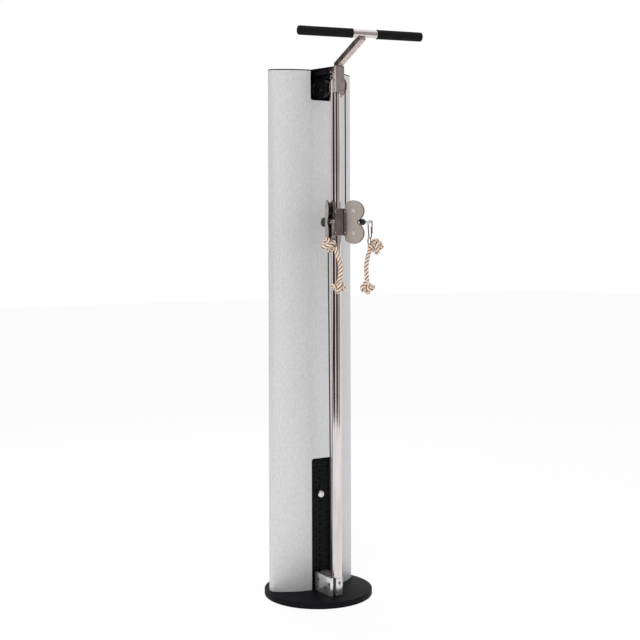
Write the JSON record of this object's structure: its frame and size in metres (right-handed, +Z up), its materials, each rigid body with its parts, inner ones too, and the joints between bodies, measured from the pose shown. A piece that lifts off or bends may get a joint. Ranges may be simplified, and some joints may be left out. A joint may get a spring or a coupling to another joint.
{
  "type": "cable machine",
  "caption": "Slim column cable machine: D-shaped cabinet with weight stack, front rail with clamped carriage, two swivelling pulley units with rope handles, T-bar grip on top.",
  "frame": {"origin": "centre of the base disc's underside, on the floor", "axes": "+Z up, -Y towards the user in front of the rail, +X to the right as seen from the front"},
  "size_m": [0.4832, 0.5873, 2.1585],
  "materials": {
    "black_powder_coat": "fine black powder coat, satin",
    "brushed_aluminium": "brushed, fine upright grain",
    "polished_steel": "polished steel",
    "satin_steel": "satin, slightly warm",
    "blackened_iron": "blackened, smooth",
    "black_nylon": "black, low gloss",
    "grip_foam": "closed-cell foam, matt",
    "hemp_rope": "three-strand natural fibre rope",
    "coated_cable": "black nylon coat over steel strands"
  },
  "bodies": {
    "base": {"base_disc": "black_powder_coat", "cabinet_left_shell": "brushed_aluminium", "cabinet_right_shell": "brushed_aluminium", "cabinet_front_strip": "brushed_aluminium", "cabinet_back_panel": "black_powder_coat", "cabinet_lid": "black_powder_coat", "rail": "polished_steel", "head_clamp": "polished_steel", "head_cap": "polished_steel", "bridge_beam": "black_powder_coat", "head_hanger": "polished_steel", "inner_hanger": "polished_steel", "bar_arm": "polished_steel", "foot_plate": "polished_steel", "foot_block": "polished_steel", "resting_plates": "blackened_iron", "guide_rod_left": "polished_steel", "guide_rod_right": "polished_steel", "guide_bar": "black_powder_coat", "top_cable": "coated_cable", "foot_cable": "coated_cable", "upper_cable": "coated_cable", "lower_cable": "coated_cable", "stack_cable": "coated_cable"},
    "head_wheel_body": {"head_wheel": "polished_steel"},
    "inner_wheel_body": {"inner_wheel": "black_nylon"},
    "foot_wheel_body": {"foot_wheel": "black_nylon"},
    "bar": {"bar_tube": "polished_steel", "left_grip": "grip_foam", "right_grip": "grip_foam"},
    "lifted_stack": {"weight_plate_12": "blackened_iron", "weight_plate_13": "blackened_iron", "weight_plate_14": "blackened_iron", "weight_plate_15": "blackened_iron", "top_plate": "blackened_iron", "selector_stem": "polished_steel"},
    "pin": {"selector_pin": "satin_steel"},
    "carriage_body": {"carriage": "polished_steel"},
    "knob": {"clamp_knob": "black_nylon"},
    "right_unit": {"right_front_cheek": "satin_steel", "right_back_cheek": "satin_steel", "right_swivel": "polished_steel", "right_ball_stop": "black_nylon"},
    "right_upper_wheel": {"right_upper_pulley": "black_nylon"},
    "right_lower_wheel": {"right_lower_pulley": "black_nylon"},
    "right_handle": {"right_handle_rope": "hemp_rope", "right_handle_upper_knot": "hemp_rope", "right_handle_lower_knot": "hemp_rope", "right_handle_snap_hook": "polished_steel"},
    "left_unit": {"left_front_cheek": "satin_steel", "left_back_cheek": "satin_steel", "left_swivel": "polished_steel", "left_ball_stop": "black_nylon"},
    "left_upper_wheel": {"left_upper_pulley": "black_nylon"},
    "left_lower_wheel": {"left_lower_pulley": "black_nylon"},
    "left_handle": {"left_handle_rope": "hemp_rope", "left_handle_upper_knot": "hemp_rope", "left_handle_lower_knot": "hemp_rope", "left_handle_snap_hook": "polished_steel"}
  },
  "joints": [
    {"name": "stack_lift", "type": "slide", "parent": "base", "child": "lifted_stack", "axis": [0, 0, 1], "range_m": [0, 1.2], "deforming": ["stack_cable"]},
    {"name": "pin_pull", "type": "slide", "parent": "lifted_stack", "child": "pin", "axis": [0, -1, 0], "range_m": [0, 0.07]},
    {"name": "head_wheel_spin", "type": "hinge", "parent": "base", "child": "head_wheel_body", "pos_m": [0.03061, -0.10009, 1.971], "axis": [0.9734, 0.229, 0], "continuous": true},
    {"name": "inner_wheel_spin", "type": "hinge", "parent": "base", "child": "inner_wheel_body", "pos_m": [0.00939, -0.00991, 1.971], "axis": [0.9734, 0.229, 0], "continuous": true},
    {"name": "foot_wheel_spin", "type": "hinge", "parent": "base", "child": "foot_wheel_body", "pos_m": [-0.013, -0.0872, 0.0585], "axis": [1, 0, 0], "continuous": true},
    {"name": "bar_turn", "type": "hinge", "parent": "base", "child": "bar", "pos_m": [0, -0.3045, 2.1413], "axis": [0, 0, 1], "range_deg": [-30, 45]},
    {"name": "carriage_slide", "type": "slide", "parent": "base", "child": "carriage_body", "axis": [0, 0, 1], "range_m": [-1.1, 0.36], "deforming": ["upper_cable", "lower_cable"]},
    {"name": "knob_turn", "type": "hinge", "parent": "carriage_body", "child": "knob", "pos_m": [-0.039, -0.112, 1.448], "axis": [-1, 0, 0], "range_deg": [-270, 0]},
    {"name": "right_swivel_turn", "type": "hinge", "parent": "carriage_body", "child": "right_unit", "pos_m": [0.04, -0.14, 1.448], "axis": [0, 0, 1], "range_deg": [-46, 44]},
    {"name": "right_upper_pulley_spin", "type": "hinge", "parent": "right_unit", "child": "right_upper_wheel", "pos_m": [0.06266, -0.16188, 1.4905], "axis": [-0.6947, -0.7193, 0], "continuous": true},
    {"name": "right_lower_pulley_spin", "type": "hinge", "parent": "right_unit", "child": "right_lower_wheel", "pos_m": [0.06266, -0.16188, 1.4055], "axis": [-0.6947, -0.7193, 0], "continuous": true},
    {"name": "right_handle_swing", "type": "hinge", "parent": "right_unit", "child": "right_handle", "pos_m": [0.10834, -0.20599, 1.448], "axis": [-0.6947, -0.7193, 0], "range_deg": [-4, 45]},
    {"name": "left_swivel_turn", "type": "hinge", "parent": "carriage_body", "child": "left_unit", "pos_m": [-0.04, -0.14, 1.448], "axis": [0, 0, 1], "range_deg": [-38, 22]},
    {"name": "left_upper_pulley_spin", "type": "hinge", "parent": "left_unit", "child": "left_upper_wheel", "pos_m": [-0.0518, -0.16921, 1.4905], "axis": [-0.9272, 0.3746, 0], "continuous": true},
    {"name": "left_lower_pulley_spin", "type": "hinge", "parent": "left_unit", "child": "left_lower_wheel", "pos_m": [-0.0518, -0.16921, 1.4055], "axis": [-0.9272, 0.3746, 0], "continuous": true},
    {"name": "left_handle_swing", "type": "hinge", "parent": "left_unit", "child": "left_handle", "pos_m": [-0.07559, -0.22808, 1.448], "axis": [-0.9272, 0.3746, 0], "range_deg": [-4, 45]}
  ],
  "couplings": [
    {"joint": "head_wheel_spin", "follows": "stack_lift", "rad_per_m": 24.39},
    {"joint": "inner_wheel_spin", "follows": "stack_lift", "rad_per_m": 24.39},
    {"joint": "right_upper_pulley_spin", "follows": "stack_lift", "rad_per_m": 31.746}
  ]
}
